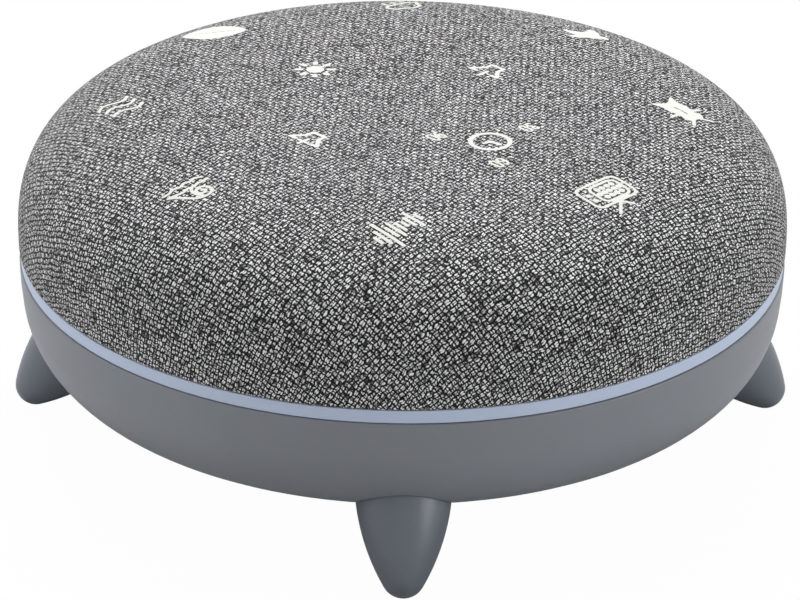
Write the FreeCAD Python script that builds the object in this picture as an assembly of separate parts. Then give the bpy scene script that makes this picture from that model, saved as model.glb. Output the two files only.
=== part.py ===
import FreeCAD, Part
import math
import os

os.makedirs("parts", exist_ok=True)
Vector = FreeCAD.Vector

# A white noise sound machine: a round puck on four splayed legs, with a touch top under fabric.
# Millimetres. Z is up, the origin is on the table under the middle, and +Y is the set's rear.
# Heights named "above the seam" count from the lower shell's rim.

# Outer form. Dome and bowl each have a flat middle and three tangent arcs out to an upright side.
# The shoulder and the flank are how wide the arcs are together.
body_radius = 75.0
seam_height = 35.9
crown_height = 30.5
crown_base = 5.3
crown_shoulder = 39.2
crown_top_arc = 101.3
crown_corner_arc = 20.0
crown_side_arc = 60.2
bowl_depth = 24.6
bowl_flank = 25.1
bowl_belly_arc = 44.0
bowl_corner_arc = 16.9
bowl_side_arc = 77.7

# Walls and clearances
shell_wall = 2.2
dome_wall = 2.0
fabric_thickness = 0.8
fabric_clearance = 0.1
fit_clearance = 0.2
thread_clearance = 0.05
# How far a form reaches into its neighbour, or past the face that it cuts
past = 1.0
# Slack for telling one edge from another by its place
tiny = 0.01
rim_round = 0.35
board_thickness = 1.6

# Light ring
groove_height = 0.15
band_height = 2.5
band_inset = 0.25
band_round = 0.12
skirt_depth = 1.6
skirt_wall = 2.4
ledge_width = 1.8
hem_width = 4.4

# Legs
leg_azimuths = [45, 135, 225, 315]
leg_names = ["leg_rear_right", "leg_rear_left", "leg_front_left", "leg_front_right"]
leg_splay = 42.0
foot_inset = 1.6
leg_tip_radius = 4.1
leg_widest_radius = 9.05
leg_widest_at = 18.5
foot_flat_depth = 0.2
leg_pocket_depth = 2.8
leg_pocket_clearance = 0.2
leg_boss_depth = 6.0
leg_boss_wall = 1.8
leg_screw_radius = 1.45
leg_screw_head_radius = 3.2
leg_screw_head_height = 2.5
leg_screw_grip = 9.0

# Housing screws, up through the lower shell into the dome
housing_azimuths = [22.5, 112.5, 202.5, 292.5]
housing_screw_inset = 25.0
housing_screw_radius = 1.25
housing_head_radius = 2.75
housing_head_height = 2.4
lower_boss_wall = 1.5
upper_boss_radius = 3.5
counterbore_depth = 14.0
housing_screw_grip = 8.0
housing_pilot_spare = 2.0

# Speaker, facing down
speaker_radius = 26.0
speaker_opening_radius = 21.0
gasket_thickness = 1.5
gasket_width = 2.4
basket_sheet = 1.0
basket_height = 10.9
basket_neck_radius = 14.5
spider_spacer = 1.0
plate_radius = 13.5
plate_thickness = 2.5
magnet_radius = 15.0
magnet_thickness = 6.0
pole_radius = 5.9
coil_radius = 6.2
former_wall = 0.3
winding_wall = 0.4
gap_clearance = 0.35
winding_height = 4.0
cone_depth = 6.6
cone_paper = 0.5
roll_radius = 1.1
cap_depth = 2.8
lip_width = 1.4
surround_sheet = 0.4
spider_wave = 0.5
spider_clearance = 0.05
spider_land_share = 0.15
spider_fold_share = 0.2
magnet_hole_step = 1.4
window_width = 12.0
window_rise = 2.6
window_margin = 0.6
speaker_screw_radius = 1.1
speaker_screw_head_height = 1.5
speaker_screw_outset = 1.6
screw_boss_wall = 1.4
ear_radius = 3.6
terminal_height = 4.5
terminal_width = 10.0
terminal_sheet = 1.6
tag_width = 1.8
tag_sheet = 0.8
tag_rise = 1.5
speaker_screw_azimuths = [45, 135, 225, 315]

# Grille
grille_radius = 24.0
grille_thickness = 1.0
grille_clearance = 0.1
grille_hole_radius = 1.1
grille_ring_pitch = 3.7
grille_rings = 5

# Boards
main_board_inset = 32.0
main_board_height = 4.5
board_post_inset = 5.0
main_post_radius = 3.0
post_azimuths = [67.5, 157.5, 247.5, 337.5]
touch_board_inset = 15.0
touch_board_drop = 5.6
touch_pad_radius = 5.0
outer_pad_inset = 20.2
inner_pad_circle = 24.1
board_screw_radius = 1.1
board_screw_head = 2.3
board_screw_head_height = 1.6
board_screw_grip = 3.6
board_pilot_spare = 0.4
boss_clearance = 0.5
led_board_width = 8.5
led_board_gap = 2.2
led_board_drop = 1.0
led_count = 16
led_size = (2.8, 3.5, 1.4)
led_inset = 0.3
led_rib_thickness = 1.8
led_rib_azimuths = [22.5 + 45 * i for i in range(8)]
stake_radius = 0.8
stake_inset = 2.0
stake_head = 0.5
stake_clearance = 0.1
pad_clearance = 0.15

# Parts on the boards: width, depth and height, and the place of the middle
chip_sizes = [(10.0, 10.0, 1.6), (5.0, 5.0, 1.1), (6.0, 5.0, 1.6)]
chip_places = [(0.0, 0.0), (14.5, 8.5), (-15.0, 7.5)]
touch_chip_size = (7.0, 7.0, 1.2)
touch_chip_place = (11.5, -10.5)
capacitor_radii = [4.0, 3.2, 3.2]
capacitor_heights = [9.0, 7.7, 7.7]
capacitor_places = [(-22.0, -14.0), (-12.0, -20.0), (16.0, -16.0)]

# Power inlet, in the set's left side
inlet_drop = 9.5
jack_width = 9.0
jack_length = 12.0
jack_nose_radius = 3.7
jack_bore_radius = 3.15
jack_bore_depth = 9.0
jack_pin_radius = 1.05
jack_pin_recess = 1.6
jack_recess = 0.1
jack_nose_clearance = 0.1
inlet_pocket_radius = 4.9
inlet_pocket_depth = 1.6
jack_pad_depth = 5.0
jack_pad_margin = 2.0
jack_rib_thickness = 1.6
jack_rib_length = 9.0

# Wires
wire_radius = 0.6
wire_spacing = 3.0
ribbon_width = 10.0
ribbon_thickness = 0.3
ribbon_header_height = 3.0
main_ribbon_inset = 15.0
ribbon_step = 4.0
header_height = 4.0
header_length = 12.0
header_depth = 5.0
speaker_header_inset = 10.0
side_header_inset = 7.0
tag_run = 6.0
header_run = 5.0
jack_run = 9.0
jack_rise = 3.0
led_pad_inset = 2.0
led_header_run = 7.0

# Places worked out from the body's radius
crown_flat_radius = body_radius - crown_shoulder
bowl_flat_radius = body_radius - bowl_flank
foot_radius = body_radius - foot_inset
housing_screw_circle = body_radius - housing_screw_inset
main_board_radius = body_radius - main_board_inset
touch_board_radius = body_radius - touch_board_inset
board_post_circle = main_board_radius - board_post_inset
outer_pad_circle = body_radius - outer_pad_inset
inlet_pocket_floor = body_radius - inlet_pocket_depth
jack_pad_face = body_radius - jack_pad_depth
main_ribbon_y = main_board_radius - main_ribbon_inset
touch_ribbon_y = main_ribbon_y - ribbon_step
speaker_header_y = main_board_radius - speaker_header_inset
side_header_x = main_board_radius - side_header_inset

# Levels and radii worked out from the sizes above
floor_outside = seam_height - bowl_depth
floor_inside = floor_outside + shell_wall
ring_top = seam_height + groove_height + band_height
rim_height = ring_top + fabric_thickness
dome_inset = fabric_thickness + fabric_clearance
dome_inner_inset = dome_inset + dome_wall
crown_level = seam_height + crown_base
wall_inside = body_radius - shell_wall
skirt_radius = wall_inside - fit_clearance
skirt_inside = skirt_radius - skirt_wall
band_radius = body_radius - band_inset
ledge_level = seam_height - skirt_depth
speaker_face = floor_inside + gasket_thickness
basket_top = speaker_face + basket_height
spider_seat_radius = basket_neck_radius - 3 * basket_sheet
spider_rim_radius = basket_neck_radius - basket_sheet - gap_clearance
surround_radius = speaker_radius - gasket_width - fit_clearance
roll_room = roll_radius + cone_paper
cone_edge = speaker_opening_radius - 2 * roll_radius
cone_neck = speaker_face + cone_depth
former_radius = coil_radius + former_wall
gap_radius = former_radius + winding_wall + gap_clearance
main_board_level = seam_height + main_board_height
dome_ceiling = seam_height + crown_height - dome_inner_inset
touch_board_level = dome_ceiling - touch_board_drop
touch_board_under = touch_board_level - board_thickness
led_board_radius = skirt_inside - led_board_gap
led_board_inside = led_board_radius - led_board_width
led_board_level = seam_height - led_board_drop
inlet_level = seam_height - inlet_drop
jack_mouth = inlet_pocket_floor - jack_recess
speaker_screw_circle = speaker_radius + speaker_screw_outset
crown_sizes = (crown_flat_radius, crown_top_arc, crown_corner_arc, crown_side_arc)
bowl_sizes = (bowl_flat_radius, bowl_belly_arc, bowl_corner_arc, bowl_side_arc)


def cylinder(radius, low, high, circle=0.0, azimuth=0.0):
    """Upright cylinder, on the axis or standing on a circle about it."""
    turn = math.radians(azimuth)
    foot = Vector(circle * math.cos(turn), circle * math.sin(turn), low)
    return Part.makeCylinder(radius, high - low, foot)


def block(x, y, z):
    """Box between pairs of limits."""
    return Part.makeBox(x[1] - x[0], y[1] - y[0], z[1] - z[0], Vector(x[0], y[0], z[0]))


def upright_block(place, size, low, high):
    """Box about a place on the plan, between two levels."""
    half_width, half_depth = size[0] / 2, size[1] / 2
    return block((place[0] - half_width, place[0] + half_width),
                 (place[1] - half_depth, place[1] + half_depth), (low, high))


def turned(corners, arcs=()):
    """Solid turned about Z from (radius, height) corners, closed by a line or by arcs."""
    points = [Vector(radius, 0, height) for radius, height in corners]
    if not arcs:
        points.append(points[0])
    edges = Part.makePolygon(points).Edges + list(arcs)
    outline = Part.Wire(Part.__sortEdges__(edges))
    return Part.Face(outline).revolve(Vector(), Vector(0, 0, 1), 360)


def rotated(shape, azimuth):
    """Copy of a shape turned about the middle."""
    copy = shape.copy()
    copy.rotate(Vector(), Vector(0, 0, 1), azimuth)
    return copy


def around(shape, azimuths):
    """Copies of a shape at several azimuths."""
    return [rotated(shape, azimuth) for azimuth in azimuths]


def arc_centres(flat_radius, flat_arc, corner_arc, side_arc, rise):
    """Centres (radius, rise) of three tangent arcs, from a flat middle out to an upright side."""
    flat = Vector(flat_radius, 0, rise - flat_arc)
    side = Vector(body_radius - side_arc, 0, 0)
    to_flat = flat_arc - corner_arc
    to_side = side_arc - corner_arc
    apart = side - flat
    along = (to_flat ** 2 - to_side ** 2 + apart.Length ** 2) / (2 * apart.Length)
    aside = math.sqrt(to_flat ** 2 - along ** 2)
    direction = apart.normalize()
    corner = flat + direction * along + Vector(direction.z, 0, -direction.x) * aside
    return flat, corner, side


def rounded_side(sizes, rise, inset, level, up):
    """The three arcs, moved inward by an inset, from the upright side to the flat middle."""
    flat, corner, side = arc_centres(*sizes, rise)
    flat_arc, corner_arc, side_arc = [size - inset for size in sizes[1:]]
    angles = [0, math.atan2(corner.x - flat.x, corner.z - flat.z),
              math.atan2(corner.x - side.x, corner.z - side.z), math.pi / 2]
    arcs = []
    for centre, radius, low, high in ((flat, flat_arc, angles[0], angles[1]),
                                      (corner, corner_arc, angles[1], angles[2]),
                                      (side, side_arc, angles[2], angles[3])):
        places = []
        for angle in (low, (low + high) / 2, high):
            height = centre.z + radius * math.cos(angle)
            places.append(Vector(centre.x + radius * math.sin(angle), 0, level + up * height))
        arcs.append(Part.Arc(*places).toShape())
    return arcs


def crown_form(inset, bottom):
    """Solid of the domed top, moved inward by an inset, down to a flat bottom."""
    arcs = rounded_side(crown_sizes, crown_height - crown_base, inset, crown_level, 1)
    top = seam_height + crown_height - inset
    radius = body_radius - inset
    return turned([(crown_flat_radius, top), (0, top), (0, bottom), (radius, bottom),
                   (radius, crown_level)], arcs)


def bowl_form(inset):
    """Solid of the bowl below the seam, moved inward by an inset."""
    arcs = rounded_side(bowl_sizes, bowl_depth, inset, seam_height, -1)
    floor = floor_outside + inset
    return turned([(bowl_flat_radius, floor), (0, floor), (0, seam_height),
                   (body_radius - inset, seam_height)], arcs)


def bowl_radius(height):
    """Radius of the bowl's outside at a height, by the arcs that bowl_form follows."""
    drop = seam_height - height
    centres = arc_centres(*bowl_sizes, bowl_depth)
    reaches = []
    for centre, arc in zip(centres, bowl_sizes[1:]):
        reaches.append(centre.x + math.sqrt(max(0.0, arc ** 2 - (drop - centre.z) ** 2)))
    flat, corner, side = centres
    to_side = (corner - side).normalize()
    to_flat = (corner - flat).normalize()
    if drop < side.z + bowl_side_arc * to_side.z:
        return reaches[2]
    return reaches[1] if drop < flat.z + bowl_belly_arc * to_flat.z else reaches[0]


def leg_mouth():
    """Distance up a leg's axis, from the centre of its tip, to the bowl's outside."""
    lean = math.radians(leg_splay)
    near, far = 0.0, 2 * leg_widest_at
    for _ in range(40):
        middle = (near + far) / 2
        radius = foot_radius - middle * math.sin(lean)
        height = tip_level + middle * math.cos(lean)
        if height < floor_outside or radius > bowl_radius(height):
            near = middle
        else:
            far = middle
    return far


def on_leg_axis(shape, azimuth):
    """Shape built up +Z from a leg's tip centre, set on that leg's axis."""
    placed = shape.copy()
    placed.rotate(Vector(), Vector(0, 1, 0), -leg_splay)
    placed.translate(Vector(foot_radius, 0, tip_level))
    return rotated(placed, azimuth)


tip_level = leg_tip_radius - foot_flat_depth
leg_seat = leg_mouth() + leg_pocket_depth
side_radius = (leg_widest_at ** 2 + leg_widest_radius ** 2 - leg_tip_radius ** 2)
side_radius = side_radius / (2 * (leg_widest_radius - leg_tip_radius))
side_centre = leg_widest_radius - side_radius


def leg_radius(along):
    """Radius of a leg at a distance up its axis from the centre of its tip."""
    return side_centre + math.sqrt(side_radius ** 2 - (along - leg_widest_at) ** 2)


def leg(azimuth):
    """One bullet-shaped leg, with a small flat where it stands and a hole for its screw."""
    reach = math.hypot(side_centre, leg_widest_at)
    meet = Vector(-side_centre, 0, -leg_widest_at) * (leg_tip_radius / reach)
    tip = Vector(0, 0, -leg_tip_radius)
    half_way = (tip + meet).normalize() * leg_tip_radius
    middle = (meet.z + leg_seat) / 2
    root = Vector(leg_radius(leg_seat), 0, leg_seat)
    outline = [
        Part.Arc(tip, half_way, meet).toShape(),
        Part.Arc(meet, Vector(leg_radius(middle), 0, middle), root).toShape(),
        Part.LineSegment(root, Vector(0, 0, leg_seat)).toShape(),
        Part.LineSegment(Vector(0, 0, leg_seat), tip).toShape(),
    ]
    solid = Part.Face(Part.Wire(outline)).revolve(Vector(), Vector(0, 0, 1), 360)
    pilot = cylinder(leg_screw_radius + thread_clearance, leg_seat - leg_screw_grip - past, leg_seat + past)
    table = block((0, 2 * body_radius), (-body_radius, body_radius), (-body_radius, 0))
    upright = on_leg_axis(solid.cut(pilot), 0).cut(table)
    return rotated(upright, azimuth)


def leg_screw():
    """Pan-head screw that holds a leg, driven from inside the shell."""
    head = leg_seat + shell_wall
    shank = cylinder(leg_screw_radius, leg_seat - leg_screw_grip, head)
    cap = cylinder(leg_screw_head_radius, head, head + leg_screw_head_height)
    return shank.fuse(cap).removeSplitter()


def housing_screw():
    """Long screw that closes the housing, at azimuth 0."""
    seat = floor_outside + counterbore_depth
    shank = cylinder(housing_screw_radius, seat, seam_height + housing_screw_grip, housing_screw_circle)
    head = cylinder(housing_head_radius, seat - housing_head_height, seat, housing_screw_circle)
    return shank.fuse(head).removeSplitter()


def board_screw(level, circle, up):
    """Small screw through a board at azimuth 0, its head on the level and its shank along up."""
    head = sorted([level, level - up * board_screw_head_height])
    shank = sorted([level, level + up * (board_thickness + board_screw_grip)])
    body = cylinder(board_screw_radius, shank[0], shank[1], circle)
    return body.fuse(cylinder(board_screw_head, head[0], head[1], circle)).removeSplitter()


def lower_shell():
    """Moulded bowl with leg pockets, screw bosses, board posts, ribs and the speaker opening."""
    outside = bowl_form(0)
    shell = outside.cut(bowl_form(shell_wall))
    ledge = turned([
        (body_radius - 0.5 * shell_wall, ledge_level),
        (wall_inside - ledge_width, ledge_level),
        (wall_inside - ledge_width, ledge_level - past),
        (body_radius - 0.5 * shell_wall, ledge_level - past - ledge_width),
    ])
    additions = [ledge]
    boss = cylinder(housing_head_radius + fit_clearance + lower_boss_wall,
                    floor_inside - past, seam_height, housing_screw_circle)
    additions += around(boss, housing_azimuths)
    post = cylinder(main_post_radius, floor_inside - past, main_board_level, board_post_circle)
    additions += around(post, post_azimuths)
    ear = cylinder(speaker_screw_radius + screw_boss_wall, floor_inside - past, speaker_face,
                   speaker_screw_circle)
    additions += around(ear, speaker_screw_azimuths)
    pocket_radius = leg_radius(leg_seat) + leg_pocket_clearance
    leg_boss = cylinder(pocket_radius + leg_boss_wall, leg_seat - leg_boss_depth, leg_seat + shell_wall)
    additions += [on_leg_axis(leg_boss, a).common(outside) for a in leg_azimuths]
    rib = block((led_board_inside, body_radius),
                (-led_rib_thickness / 2, led_rib_thickness / 2),
                (floor_outside, led_board_level - board_thickness))
    rib = rib.common(bowl_form(0.5 * shell_wall))
    additions += around(rib, led_rib_azimuths)
    stake = cylinder(stake_radius, led_board_level - board_thickness - past, led_board_level + stake_head,
                     led_board_inside + stake_inset)
    additions += around(stake, led_rib_azimuths[::2])
    additions += inlet_supports(outside)
    shell = shell.multiFuse(additions)

    cuts = [cylinder(speaker_opening_radius, floor_outside - past, floor_inside + past)]
    recess = grille_radius + grille_clearance
    cuts.append(cylinder(recess, floor_outside - past, floor_outside + grille_thickness))
    access = cylinder(housing_head_radius + fit_clearance, floor_outside - past,
                      floor_outside + counterbore_depth, housing_screw_circle)
    cuts += around(access, housing_azimuths)
    through = cylinder(housing_screw_radius + fit_clearance, floor_outside, seam_height + past,
                       housing_screw_circle)
    cuts += around(through, housing_azimuths)
    pilot = cylinder(board_screw_radius + thread_clearance, main_board_level - board_screw_grip - past,
                     main_board_level + past, board_post_circle)
    cuts += around(pilot, post_azimuths)
    ear_pilot = cylinder(speaker_screw_radius + thread_clearance, floor_inside - past - thread_clearance,
                         speaker_face + past, speaker_screw_circle)
    cuts += around(ear_pilot, speaker_screw_azimuths)
    pocket = cylinder(pocket_radius, leg_seat - 2 * pocket_radius, leg_seat)
    boss_end = leg_seat + shell_wall
    screw_way = cylinder(leg_screw_radius + fit_clearance, leg_seat - past, boss_end + past)
    head_way = cylinder(leg_screw_head_radius + fit_clearance, boss_end,
                        boss_end + leg_screw_head_height + past)
    for azimuth in leg_azimuths:
        cuts += [on_leg_axis(form, azimuth) for form in (pocket, screw_way, head_way)]
    for reach, radius in ((inlet_pocket_floor, inlet_pocket_radius),
                          (jack_pad_face - past, jack_nose_radius + jack_nose_clearance)):
        hole = Part.makeCylinder(radius, jack_length, Vector(-reach, 0, inlet_level), Vector(-1, 0, 0))
        cuts.append(hole)
    shell = shell.cut(Part.makeCompound(cuts)).removeSplitter()
    rim = [edge for edge in shell.Edges
           if edge.BoundBox.ZMin > seam_height - tiny and edge.BoundBox.XMax > body_radius - tiny]
    return shell.makeFillet(rim_round, rim)


def inlet_supports(outside):
    """Flat pad on the shell's wall for the jack's face, and two ribs under its body."""
    half = jack_width / 2
    wide = half + jack_pad_margin
    pad = block((-body_radius, -jack_pad_face), (-wide, wide), (inlet_level - wide, inlet_level + half))
    ribs = []
    for side in (-1, 1):
        middle = side * (half - jack_rib_thickness)
        ribs.append(block((-jack_pad_face - past, -jack_pad_face + jack_rib_length),
                          (middle - jack_rib_thickness / 2, middle + jack_rib_thickness / 2),
                          (floor_outside, inlet_level - half)))
    return [pad.common(outside)] + [rib.common(outside) for rib in ribs]


def top_dome():
    """Moulded dome under the fabric, with long screw bosses and short posts for the touch board."""
    dome = crown_form(dome_inset, rim_height).cut(crown_form(dome_inner_inset, rim_height))
    boss = cylinder(upper_boss_radius, seam_height, seam_height + crown_height, housing_screw_circle)
    post = cylinder(upper_boss_radius, touch_board_level, seam_height + crown_height, board_post_circle)
    inner = crown_form(dome_inset + 0.5 * dome_wall, seam_height)
    additions = [form.common(inner) for form in around(boss, housing_azimuths)]
    additions += [form.common(inner) for form in around(post, post_azimuths)]
    dome = dome.multiFuse(additions)
    pilot = cylinder(housing_screw_radius + thread_clearance, seam_height - past,
                     seam_height + housing_screw_grip + housing_pilot_spare, housing_screw_circle)
    small = cylinder(board_screw_radius + thread_clearance, touch_board_level - past,
                     touch_board_level + board_screw_grip + board_pilot_spare, board_post_circle)
    cuts = around(pilot, housing_azimuths) + around(small, post_azimuths)
    return dome.cut(Part.makeCompound(cuts)).removeSplitter()


def fabric_cover():
    """Fabric skin stretched over the dome, with its hem turned in under the dome's rim."""
    outside = crown_form(0, ring_top)
    edge = [e for e in outside.Edges if e.BoundBox.ZMax < ring_top + tiny and e.Length > body_radius]
    outside = outside.makeFillet(0.9 * fabric_thickness, edge)
    inside = crown_form(fabric_thickness, rim_height)
    hole = cylinder(body_radius - hem_width, ring_top - past, rim_height + past)
    return outside.cut(inside).cut(hole)


def light_ring():
    """Frosted ring: an outer band over the shell's rim and a skirt that drops inside it."""
    low = seam_height + groove_height
    ring = turned([
        (skirt_inside, ledge_level),
        (skirt_radius, ledge_level),
        (skirt_radius, low),
        (band_radius, low),
        (band_radius, ring_top),
        (skirt_inside, ring_top),
    ])
    edges = [e for e in ring.Edges
             if e.BoundBox.XMax > band_radius - tiny and e.BoundBox.ZLength < tiny]
    return ring.makeFillet(band_round, edges)


def speaker_grille():
    """Round insert in the shell's floor, with rings of holes that each gain six."""
    plate = cylinder(grille_radius, floor_outside, floor_outside + grille_thickness)
    hole = cylinder(grille_hole_radius, floor_outside - past, floor_outside + grille_thickness + past)
    holes = [hole]
    for ring in range(1, grille_rings + 1):
        place = hole.translated(Vector(ring * grille_ring_pitch, 0, 0))
        holes += around(place, [60.0 * i / ring for i in range(6 * ring)])
    return plate.cut(Part.makeCompound(holes))


def speaker_basket():
    """Stamped frame: a flange with four ears, an open cone and a ring for the spider and magnet."""
    face = speaker_face
    inner = speaker_opening_radius
    shelf = basket_top - basket_sheet - spider_spacer
    flange = cylinder(speaker_radius, face, face + basket_sheet)
    ear = cylinder(ear_radius, face, face + basket_sheet, speaker_screw_circle)
    wall = turned([
        (inner, face),
        (inner + basket_sheet, face),
        (inner + basket_sheet, face + 2 * basket_sheet),
        (basket_neck_radius, basket_top),
        (basket_neck_radius - basket_sheet, shelf),
        (inner, face + roll_room),
    ])
    bridge = cylinder(basket_neck_radius, shelf, basket_top)
    basket = flange.multiFuse(around(ear, speaker_screw_azimuths) + [wall, bridge])
    window = block((basket_neck_radius, inner), (-window_width / 2, window_width / 2),
                   (face + window_rise, shelf - window_margin))
    screw_hole = cylinder(speaker_screw_radius + fit_clearance, face - past, face + basket_sheet + past,
                          speaker_screw_circle)
    cuts = around(window, [azimuth + 45 for azimuth in speaker_screw_azimuths])
    cuts += around(screw_hole, speaker_screw_azimuths)
    cuts.append(cylinder(inner, face - past, face + roll_room))
    cuts.append(cylinder(spider_seat_radius, face - past, basket_top - basket_sheet))
    cuts.append(cylinder(gap_radius, face, basket_top + past))
    return basket.cut(Part.makeCompound(cuts)).removeSplitter()


def magnet_parts():
    """Front plate, magnet and yoke with its pole, stacked on the basket."""
    plate_top = basket_top + plate_thickness
    magnet_top = plate_top + magnet_thickness
    hole = gap_radius + magnet_hole_step
    parts = {}
    parts["speaker_top_plate"] = turned([
        (gap_radius, basket_top), (plate_radius, basket_top),
        (plate_radius, plate_top), (gap_radius, plate_top)])
    parts["speaker_magnet"] = turned([
        (hole, plate_top), (magnet_radius, plate_top),
        (magnet_radius, magnet_top), (hole, magnet_top)])
    parts["speaker_yoke"] = turned([
        (0, basket_top), (pole_radius, basket_top), (pole_radius, magnet_top),
        (plate_radius, magnet_top), (plate_radius, magnet_top + plate_thickness),
        (0, magnet_top + plate_thickness)])
    return parts


def moving_parts():
    """Voice coil on its former, paper cone and dust cap, which travel together."""
    low = cone_neck - 2 * cone_paper
    winding_low = basket_top + plate_thickness / 2 - winding_height / 2
    parts = {}
    parts["voice_coil"] = turned([
        (coil_radius, low),
        (former_radius, low),
        (former_radius, winding_low),
        (former_radius + winding_wall, winding_low),
        (former_radius + winding_wall, winding_low + winding_height),
        (coil_radius, winding_low + winding_height),
    ])
    parts["speaker_cone"] = turned([
        (former_radius, cone_neck),
        (former_radius, cone_neck - cone_paper),
        (cone_edge - lip_width, speaker_face),
        (cone_edge, speaker_face),
        (cone_edge, speaker_face + cone_paper),
        (cone_edge - lip_width, speaker_face + cone_paper),
    ])
    parts["dust_cap"] = cap_form(former_radius, low, cap_depth).cut(
        cap_form(former_radius - cone_paper, low, cap_depth - cone_paper))
    return parts


def cap_form(radius, rim, depth):
    """Solid segment of a ball that bulges down from its rim."""
    ball = (radius ** 2 + depth ** 2) / (2 * depth)
    half = math.atan2(radius, ball - depth) / 2
    middle = Vector(ball * math.sin(half), 0, rim - depth + ball * (1 - math.cos(half)))
    arc = Part.Arc(Vector(radius, 0, rim), middle, Vector(0, 0, rim - depth)).toShape()
    return turned([(0, rim - depth), (0, rim), (radius, rim)], [arc])


def surround():
    """Rubber edge: a lip under the cone, a half roll and a lip under the basket's flange."""
    low = speaker_face - surround_sheet
    middle = cone_edge + roll_radius
    top = speaker_face + roll_radius
    inner = speaker_opening_radius
    over = Part.Arc(Vector(inner, 0, speaker_face), Vector(middle, 0, top),
                    Vector(cone_edge, 0, speaker_face)).toShape()
    under = Part.Arc(Vector(cone_edge + surround_sheet, 0, low), Vector(middle, 0, top - surround_sheet),
                     Vector(inner - surround_sheet, 0, low)).toShape()
    lips = [
        [(cone_edge, speaker_face), (cone_edge - lip_width, speaker_face),
         (cone_edge - lip_width, low), (cone_edge + surround_sheet, low)],
        [(inner - surround_sheet, low), (surround_radius, low),
         (surround_radius, speaker_face), (inner, speaker_face)],
    ]
    edges = [over]
    edges += Part.makePolygon([Vector(r, 0, z) for r, z in lips[0]]).Edges
    edges.append(under)
    edges += Part.makePolygon([Vector(r, 0, z) for r, z in lips[1]]).Edges
    return Part.Face(Part.Wire(edges)).revolve(Vector(), Vector(0, 0, 1), 360)


def spider():
    """Corrugated cloth disc that centres the coil, glued under the basket's ring."""
    level = basket_top - basket_sheet - spider_spacer
    inner = former_radius + spider_clearance
    span = spider_seat_radius - inner
    upper = [(inner, level), (inner + spider_land_share * span, level)]
    for fold in range(1, 4):
        share = spider_land_share + spider_fold_share * fold
        upper.append((inner + share * span, level - (spider_wave if fold % 2 else 0.0)))
    upper += [(spider_seat_radius, level), (spider_rim_radius, level)]
    lower = [(radius, height - surround_sheet) for radius, height in reversed(upper)]
    return turned(upper + lower)


def speaker_gasket():
    """Foam ring between the basket's flange and the shell's floor, notched for the screw bosses."""
    inner = speaker_radius - gasket_width
    gasket = turned([(inner, floor_inside), (speaker_radius, floor_inside),
                     (speaker_radius, speaker_face), (inner, speaker_face)])
    bump = cylinder(speaker_screw_radius + screw_boss_wall + fit_clearance,
                    floor_inside - past, speaker_face + past, speaker_screw_circle)
    return gasket.cut(Part.makeCompound(around(bump, speaker_screw_azimuths)))


def speaker_screw():
    """Small screw through an ear of the basket, at azimuth 0."""
    seat = speaker_face + basket_sheet
    shank = cylinder(speaker_screw_radius, floor_inside - past, seat, speaker_screw_circle)
    head = cylinder(2 * speaker_screw_radius, seat, seat + speaker_screw_head_height, speaker_screw_circle)
    return shank.fuse(head).removeSplitter()


def speaker_terminals():
    """Terminal strip on the flange with two solder tags."""
    base = speaker_face + basket_sheet
    middle = (speaker_opening_radius + speaker_radius) / 2
    strip = upright_block((0, -middle), (terminal_width, terminal_sheet), base,
                          base + terminal_height - tag_rise)
    tags = [upright_block((side * wire_spacing / 2, -middle), (tag_width, tag_sheet), base + tag_sheet,
                          base + terminal_height) for side in (-1, 1)]
    return strip.multiFuse(tags)


def board(radius, low, holes):
    """Round circuit board with holes cut through it."""
    return cylinder(radius, low, low + board_thickness).cut(Part.makeCompound(holes))


def main_board():
    """Main circuit board on the shell's four posts."""
    hole = cylinder(board_screw_radius + fit_clearance, main_board_level - past,
                    main_board_level + board_thickness + past, board_post_circle)
    return board(main_board_radius, main_board_level, around(hole, post_azimuths))


def touch_board():
    """Touch circuit board under the dome, with holes that clear the long screw bosses."""
    low = touch_board_under
    high = touch_board_level + past
    small = cylinder(board_screw_radius + fit_clearance, low - past, high, board_post_circle)
    large = cylinder(upper_boss_radius + boss_clearance, low - past, high, housing_screw_circle)
    holes = around(small, post_azimuths) + around(large, housing_azimuths)
    return board(touch_board_radius, low, holes)


def touch_pads():
    """Conductive foam pads from the touch board up to the dome, one under each icon."""
    ceiling = crown_form(dome_inner_inset + pad_clearance, seam_height)
    pads = []
    for circle, azimuths in ((outer_pad_circle, range(0, 360, 45)), (inner_pad_circle, range(0, 360, 90))):
        pad = cylinder(touch_pad_radius, touch_board_level, dome_ceiling + past, circle)
        pads += [form.common(ceiling) for form in around(pad, azimuths)]
    return pads


def led_board():
    """Ring-shaped board on the shell's ribs, held by four heat stakes."""
    low = led_board_level - board_thickness
    ring = turned([(led_board_inside, low), (led_board_radius, low),
                   (led_board_radius, led_board_level), (led_board_inside, led_board_level)])
    hole = cylinder(stake_radius + stake_clearance, low - past, led_board_level + past,
                    led_board_inside + stake_inset)
    return ring.cut(Part.makeCompound(around(hole, led_rib_azimuths[::2])))


def leds():
    """Lamps round the edge of the ring board, facing the light ring."""
    outer = led_board_radius - led_inset
    lamp = block((outer - led_size[0], outer), (-led_size[1] / 2, led_size[1] / 2),
                 (led_board_level, led_board_level + led_size[2]))
    return around(lamp, [(i + 0.5) * 360 / led_count for i in range(led_count)])


def power_jack():
    """Barrel socket: a body against the shell's pad and a nose through its wall."""
    half = jack_width / 2
    body = block((-jack_pad_face, -jack_pad_face + jack_length), (-half, half),
                 (inlet_level - half, inlet_level + half))
    nose = Part.makeCylinder(jack_nose_radius, jack_mouth - jack_pad_face,
                             Vector(-jack_pad_face, 0, inlet_level), Vector(-1, 0, 0))
    bore = Part.makeCylinder(jack_bore_radius, jack_bore_depth,
                             Vector(-jack_mouth, 0, inlet_level), Vector(1, 0, 0))
    return body.fuse(nose).cut(bore)


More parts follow.
